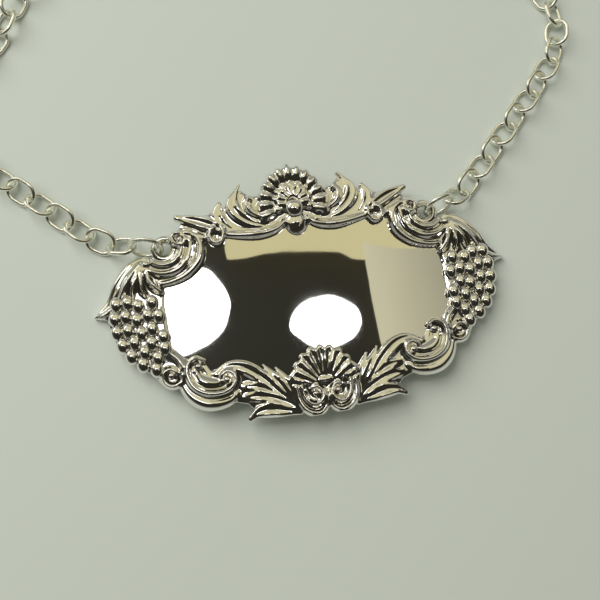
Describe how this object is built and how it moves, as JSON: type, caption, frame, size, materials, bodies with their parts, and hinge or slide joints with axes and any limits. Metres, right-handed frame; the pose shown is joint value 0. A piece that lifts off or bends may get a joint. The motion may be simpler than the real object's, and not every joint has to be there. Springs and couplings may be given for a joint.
{
  "type": "wine label",
  "caption": "Bowed silver wine label with a plain reserve, a relief border of shells, scrolls, acanthus and grapes, and an oval-link chain on jump rings to go round a bottle's neck.",
  "frame": {"origin": "middle of the plaque, on the plane that the label lies on", "axes": "+X to the wearer's right along the plaque's width, +Y up the plaque towards its crest, +Z out of its face"},
  "size_m": [0.1009, 0.0795, 0.0056],
  "materials": {
    "plaque_silver": "polished silver, with darker tarnish in the hollows of the relief",
    "chain_silver": "polished silver wire, lightly worn"
  },
  "bodies": {
    "plaque": {"plaque": "plaque_silver"},
    "left_jump_ring": {"left_jump_ring": "chain_silver"},
    "right_jump_ring": {"right_jump_ring": "chain_silver"},
    "left_link_01": {"left_link_01": "chain_silver"},
    "left_link_02": {"left_link_02": "chain_silver"},
    "left_link_03": {"left_link_03": "chain_silver"},
    "left_link_04": {"left_link_04": "chain_silver"},
    "left_link_05": {"left_link_05": "chain_silver"},
    "left_link_06": {"left_link_06": "chain_silver"},
    "left_link_07": {"left_link_07": "chain_silver"},
    "left_link_08": {"left_link_08": "chain_silver"},
    "left_link_09": {"left_link_09": "chain_silver"},
    "left_link_10": {"left_link_10": "chain_silver"},
    "left_link_11": {"left_link_11": "chain_silver"},
    "left_link_12": {"left_link_12": "chain_silver"},
    "left_link_13": {"left_link_13": "chain_silver"},
    "left_link_14": {"left_link_14": "chain_silver"},
    "left_link_15": {"left_link_15": "chain_silver"},
    "left_link_16": {"left_link_16": "chain_silver"},
    "left_link_17": {"left_link_17": "chain_silver"},
    "left_link_18": {"left_link_18": "chain_silver"},
    "left_link_19": {"left_link_19": "chain_silver"},
    "left_link_20": {"left_link_20": "chain_silver"},
    "left_link_21": {"left_link_21": "chain_silver"},
    "left_link_22": {"left_link_22": "chain_silver"},
    "left_link_23": {"left_link_23": "chain_silver"},
    "left_link_24": {"left_link_24": "chain_silver"},
    "left_link_25": {"left_link_25": "chain_silver"},
    "left_link_26": {"left_link_26": "chain_silver"},
    "left_link_27": {"left_link_27": "chain_silver"},
    "left_link_28": {"left_link_28": "chain_silver"},
    "right_link_01": {"right_link_01": "chain_silver"},
    "right_link_02": {"right_link_02": "chain_silver"},
    "right_link_03": {"right_link_03": "chain_silver"},
    "right_link_04": {"right_link_04": "chain_silver"},
    "right_link_05": {"right_link_05": "chain_silver"},
    "right_link_06": {"right_link_06": "chain_silver"},
    "right_link_07": {"right_link_07": "chain_silver"},
    "right_link_08": {"right_link_08": "chain_silver"},
    "right_link_09": {"right_link_09": "chain_silver"},
    "right_link_10": {"right_link_10": "chain_silver"},
    "right_link_11": {"right_link_11": "chain_silver"},
    "right_link_12": {"right_link_12": "chain_silver"},
    "right_link_13": {"right_link_13": "chain_silver"},
    "right_link_14": {"right_link_14": "chain_silver"},
    "right_link_15": {"right_link_15": "chain_silver"},
    "right_link_16": {"right_link_16": "chain_silver"},
    "right_link_17": {"right_link_17": "chain_silver"},
    "right_link_18": {"right_link_18": "chain_silver"},
    "right_link_19": {"right_link_19": "chain_silver"},
    "right_link_20": {"right_link_20": "chain_silver"},
    "right_link_21": {"right_link_21": "chain_silver"},
    "right_link_22": {"right_link_22": "chain_silver"},
    "right_link_23": {"right_link_23": "chain_silver"},
    "right_link_24": {"right_link_24": "chain_silver"},
    "right_link_25": {"right_link_25": "chain_silver"},
    "right_link_26": {"right_link_26": "chain_silver"}
  },
  "joints": [
    {"name": "left_jump_ring_swing", "type": "hinge", "parent": "plaque", "child": "left_jump_ring", "pos_m": [-0.02111, 0.00873, 0.00228], "axis": [-0.2173, -0.9412, 0.2588], "range_deg": [-60, 60]},
    {"name": "left_link_01_swing", "type": "hinge", "parent": "left_jump_ring", "child": "left_link_01", "pos_m": [-0.02452, 0.00951, 0.00259], "axis": [-0.0582, -0.2522, -0.9659], "range_deg": [-60, 60]},
    {"name": "left_link_02_swing", "type": "hinge", "parent": "left_link_01", "child": "left_link_02", "pos_m": [-0.02756, 0.01054, 0.0011], "axis": [0.4581, 0.7228, -0.5173], "range_deg": [-60, 60]},
    {"name": "left_link_03_swing", "type": "hinge", "parent": "left_link_02", "child": "left_link_03", "pos_m": [-0.03059, 0.01238, 0.00126], "axis": [0.4145, 0.718, 0.5592], "range_deg": [-60, 60]},
    {"name": "left_link_04_swing", "type": "hinge", "parent": "left_link_03", "child": "left_link_04", "pos_m": [-0.03304, 0.01489, 0.00126], "axis": [-0.5759, -0.5964, 0.5592], "range_deg": [-60, 60]},
    {"name": "left_link_05_swing", "type": "hinge", "parent": "left_link_04", "child": "left_link_05", "pos_m": [-0.03559, 0.01729, 0.00126], "axis": [-0.5689, -0.603, -0.5592], "range_deg": [-60, 60]},
    {"name": "left_link_06_swing", "type": "hinge", "parent": "left_link_05", "child": "left_link_06", "pos_m": [-0.03817, 0.01966, 0.00126], "axis": [0.5619, 0.6096, -0.5592], "range_deg": [-60, 60]},
    {"name": "left_link_07_swing", "type": "hinge", "parent": "left_link_06", "child": "left_link_07", "pos_m": [-0.04077, 0.022, 0.00126], "axis": [0.5547, 0.6161, 0.5592], "range_deg": [-60, 60]},
    {"name": "left_link_08_swing", "type": "hinge", "parent": "left_link_07", "child": "left_link_08", "pos_m": [-0.04333, 0.02439, 0.00126], "axis": [-0.5654, -0.6063, 0.5592], "range_deg": [-60, 60]},
    {"name": "left_link_09_swing", "type": "hinge", "parent": "left_link_08", "child": "left_link_09", "pos_m": [-0.04584, 0.02683, 0.00126], "axis": [-0.5759, -0.5964, -0.5592], "range_deg": [-60, 60]},
    {"name": "left_link_10_swing", "type": "hinge", "parent": "left_link_09", "child": "left_link_10", "pos_m": [-0.04761, 0.02986, 0.00126], "axis": [0.7031, 0.4393, -0.5592], "range_deg": [-60, 60]},
    {"name": "left_link_11_swing", "type": "hinge", "parent": "left_link_10", "child": "left_link_11", "pos_m": [-0.0486, 0.03323, 0.00126], "axis": [0.7885, 0.2562, 0.5592], "range_deg": [-60, 60]},
    {"name": "left_link_12_swing", "type": "hinge", "parent": "left_link_11", "child": "left_link_12", "pos_m": [-0.04847, 0.03676, 0.00126], "axis": [-0.829, 0, 0.5592], "range_deg": [-60, 60]},
    {"name": "left_link_13_swing", "type": "hinge", "parent": "left_link_12", "child": "left_link_13", "pos_m": [-0.04687, 0.03992, 0.00126], "axis": [-0.7574, 0.3372, -0.5592], "range_deg": [-60, 60]},
    {"name": "left_link_14_swing", "type": "hinge", "parent": "left_link_13", "child": "left_link_14", "pos_m": [-0.04422, 0.04225, 0.00126], "axis": [0.5759, -0.5964, -0.5592], "range_deg": [-60, 60]},
    {"name": "left_link_15_swing", "type": "hinge", "parent": "left_link_14", "child": "left_link_15", "pos_m": [-0.04135, 0.04427, 0.00126], "axis": [0.4873, -0.6707, 0.5592], "range_deg": [-60, 60]},
    {"name": "left_link_16_swing", "type": "hinge", "parent": "left_link_15", "child": "left_link_16", "pos_m": [-0.03918, 0.04702, 0.00126], "axis": [-0.6351, 0.5329, 0.5592], "range_deg": [-60, 60]},
    {"name": "left_link_17_swing", "type": "hinge", "parent": "left_link_16", "child": "left_link_17", "pos_m": [-0.03773, 0.05023, 0.00126], "axis": [-0.7451, 0.3634, -0.5592], "range_deg": [-60, 60]},
    {"name": "left_link_18_swing", "type": "hinge", "parent": "left_link_17", "child": "left_link_18", "pos_m": [-0.03595, 0.05324, 0.00126], "axis": [0.718, -0.4145, -0.5592], "range_deg": [-60, 60]},
    {"name": "left_link_19_swing", "type": "hinge", "parent": "left_link_18", "child": "left_link_19", "pos_m": [-0.03334, 0.0556, 0.00126], "axis": [0.5759, -0.5964, 0.5592], "range_deg": [-60, 60]},
    {"name": "left_link_20_swing", "type": "hinge", "parent": "left_link_19", "child": "left_link_20", "pos_m": [-0.03018, 0.05715, 0.00126], "axis": [-0.3892, 0.732, 0.5592], "range_deg": [-60, 60]},
    {"name": "left_link_21_swing", "type": "hinge", "parent": "left_link_20", "child": "left_link_21", "pos_m": [-0.02672, 0.05777, 0.00126], "axis": [-0.1724, 0.8109, -0.5592], "range_deg": [-60, 60]},
    {"name": "left_link_22_swing", "type": "hinge", "parent": "left_link_21", "child": "left_link_22", "pos_m": [-0.02326, 0.0583, 0.00126], "axis": [0.1306, -0.8187, -0.5592], "range_deg": [-60, 60]},
    {"name": "left_link_23_swing", "type": "hinge", "parent": "left_link_22", "child": "left_link_23", "pos_m": [-0.01977, 0.05865, 0.00126], "axis": [0.0885, -0.8243, 0.5592], "range_deg": [-60, 60]},
    {"name": "left_link_24_swing", "type": "hinge", "parent": "left_link_23", "child": "left_link_24", "pos_m": [-0.01628, 0.05882, 0.00126], "axis": [-0.0461, 0.8278, 0.5592], "range_deg": [-60, 60]},
    {"name": "left_link_25_swing", "type": "hinge", "parent": "left_link_24", "child": "left_link_25", "pos_m": [-0.01278, 0.05881, 0.00126], "axis": [-0.0036, 0.829, -0.5592], "range_deg": [-60, 60]},
    {"name": "left_link_26_swing", "type": "hinge", "parent": "left_link_25", "child": "left_link_26", "pos_m": [-0.00928, 0.05863, 0.00126], "axis": [-0.0389, -0.8281, -0.5592], "range_deg": [-60, 60]},
    {"name": "left_link_27_swing", "type": "hinge", "parent": "left_link_26", "child": "left_link_27", "pos_m": [-0.0058, 0.05826, 0.00126], "axis": [-0.0813, -0.825, 0.5592], "range_deg": [-60, 60]},
    {"name": "left_link_28_swing", "type": "hinge", "parent": "left_link_27", "child": "left_link_28", "pos_m": [-0.00234, 0.05772, 0.00126], "axis": [0.1234, 0.8198, 0.5592], "range_deg": [-60, 60]},
    {"name": "right_jump_ring_swing", "type": "hinge", "parent": "plaque", "child": "right_jump_ring", "pos_m": [0.0211, 0.00878, 0.00228], "axis": [0.25, -0.933, 0.2588], "range_deg": [-60, 60]},
    {"name": "right_link_01_swing", "type": "hinge", "parent": "right_jump_ring", "child": "right_link_01", "pos_m": [0.02448, 0.00968, 0.00259], "axis": [-0.067, 0.25, 0.9659], "range_deg": [-60, 60]},
    {"name": "right_link_02_swing", "type": "hinge", "parent": "right_link_01", "child": "right_link_02", "pos_m": [0.02722, 0.01139, 0.0011], "axis": [0.5984, -0.6118, 0.5173], "range_deg": [-60, 60]},
    {"name": "right_link_03_swing", "type": "hinge", "parent": "right_link_02", "child": "right_link_03", "pos_m": [0.0297, 0.01392, 0.00126], "axis": [0.5759, -0.5964, -0.5592], "range_deg": [-60, 60]},
    {"name": "right_link_04_swing", "type": "hinge", "parent": "right_link_03", "child": "right_link_04", "pos_m": [0.0322, 0.01636, 0.00126], "axis": [-0.5794, 0.593, -0.5592], "range_deg": [-60, 60]},
    {"name": "right_link_05_swing", "type": "hinge", "parent": "right_link_04", "child": "right_link_05", "pos_m": [0.03469, 0.01883, 0.00126], "axis": [-0.5828, 0.5896, 0.5592], "range_deg": [-60, 60]},
    {"name": "right_link_06_swing", "type": "hinge", "parent": "right_link_05", "child": "right_link_06", "pos_m": [0.03716, 0.0213, 0.00126], "axis": [0.5862, -0.5862, 0.5592], "range_deg": [-60, 60]},
    {"name": "right_link_07_swing", "type": "hinge", "parent": "right_link_06", "child": "right_link_07", "pos_m": [0.03962, 0.02379, 0.00126], "axis": [0.5896, -0.5828, -0.5592], "range_deg": [-60, 60]},
    {"name": "right_link_08_swing", "type": "hinge", "parent": "right_link_07", "child": "right_link_08", "pos_m": [0.04206, 0.0263, 0.00126], "axis": [-0.593, 0.5794, -0.5592], "range_deg": [-60, 60]},
    {"name": "right_link_09_swing", "type": "hinge", "parent": "right_link_08", "child": "right_link_09", "pos_m": [0.04449, 0.02882, 0.00126], "axis": [-0.5964, 0.5759, 0.5592], "range_deg": [-60, 60]},
    {"name": "right_link_10_swing", "type": "hinge", "parent": "right_link_09", "child": "right_link_10", "pos_m": [0.04672, 0.03152, 0.00126], "axis": [0.6351, -0.5329, 0.5592], "range_deg": [-60, 60]},
    {"name": "right_link_11_swing", "type": "hinge", "parent": "right_link_10", "child": "right_link_11", "pos_m": [0.04841, 0.03459, 0.00126], "axis": [0.718, -0.4145, -0.5592], "range_deg": [-60, 60]},
    {"name": "right_link_12_swing", "type": "hinge", "parent": "right_link_11", "child": "right_link_12", "pos_m": [0.04915, 0.03803, 0.00126], "axis": [-0.8044, 0.2006, -0.5592], "range_deg": [-60, 60]},
    {"name": "right_link_13_swing", "type": "hinge", "parent": "right_link_12", "child": "right_link_13", "pos_m": [0.04877, 0.04154, 0.00126], "axis": [-0.827, -0.0578, 0.5592], "range_deg": [-60, 60]},
    {"name": "right_link_14_swing", "type": "hinge", "parent": "right_link_13", "child": "right_link_14", "pos_m": [0.0472, 0.0447, 0.00126], "axis": [0.7574, 0.3372, 0.5592], "range_deg": [-60, 60]},
    {"name": "right_link_15_swing", "type": "hinge", "parent": "right_link_14", "child": "right_link_15", "pos_m": [0.04465, 0.04713, 0.00126], "axis": [0.5964, 0.5759, -0.5592], "range_deg": [-60, 60]},
    {"name": "right_link_16_swing", "type": "hinge", "parent": "right_link_15", "child": "right_link_16", "pos_m": [0.04148, 0.04867, 0.00126], "axis": [-0.3892, -0.732, -0.5592], "range_deg": [-60, 60]},
    {"name": "right_link_17_swing", "type": "hinge", "parent": "right_link_16", "child": "right_link_17", "pos_m": [0.03812, 0.04968, 0.00126], "axis": [-0.2562, -0.7885, 0.5592], "range_deg": [-60, 60]},
    {"name": "right_link_18_swing", "type": "hinge", "parent": "right_link_17", "child": "right_link_18", "pos_m": [0.03477, 0.0507, 0.00126], "axis": [0.2424, 0.7928, 0.5592], "range_deg": [-60, 60]},
    {"name": "right_link_19_swing", "type": "hinge", "parent": "right_link_18", "child": "right_link_19", "pos_m": [0.03141, 0.05166, 0.00126], "axis": [0.2285, 0.7969, -0.5592], "range_deg": [-60, 60]},
    {"name": "right_link_20_swing", "type": "hinge", "parent": "right_link_19", "child": "right_link_20", "pos_m": [0.02802, 0.05256, 0.00126], "axis": [-0.2146, -0.8008, -0.5592], "range_deg": [-60, 60]},
    {"name": "right_link_21_swing", "type": "hinge", "parent": "right_link_20", "child": "right_link_21", "pos_m": [0.02463, 0.0534, 0.00126], "axis": [-0.2006, -0.8044, 0.5592], "range_deg": [-60, 60]},
    {"name": "right_link_22_swing", "type": "hinge", "parent": "right_link_21", "child": "right_link_22", "pos_m": [0.02121, 0.05418, 0.00126], "axis": [0.1865, 0.8078, 0.5592], "range_deg": [-60, 60]},
    {"name": "right_link_23_swing", "type": "hinge", "parent": "right_link_22", "child": "right_link_23", "pos_m": [0.01779, 0.0549, 0.00126], "axis": [0.1724, 0.8109, -0.5592], "range_deg": [-60, 60]},
    {"name": "right_link_24_swing", "type": "hinge", "parent": "right_link_23", "child": "right_link_24", "pos_m": [0.01435, 0.05556, 0.00126], "axis": [-0.1582, -0.8138, -0.5592], "range_deg": [-60, 60]},
    {"name": "right_link_25_swing", "type": "hinge", "parent": "right_link_24", "child": "right_link_25", "pos_m": [0.0109, 0.05616, 0.00126], "axis": [-0.144, -0.8164, 0.5592], "range_deg": [-60, 60]},
    {"name": "right_link_26_swing", "type": "hinge", "parent": "right_link_25", "child": "right_link_26", "pos_m": [0.00744, 0.0567, 0.00126], "axis": [0.1297, 0.8188, 0.5592], "range_deg": [-60, 60]}
  ]
}
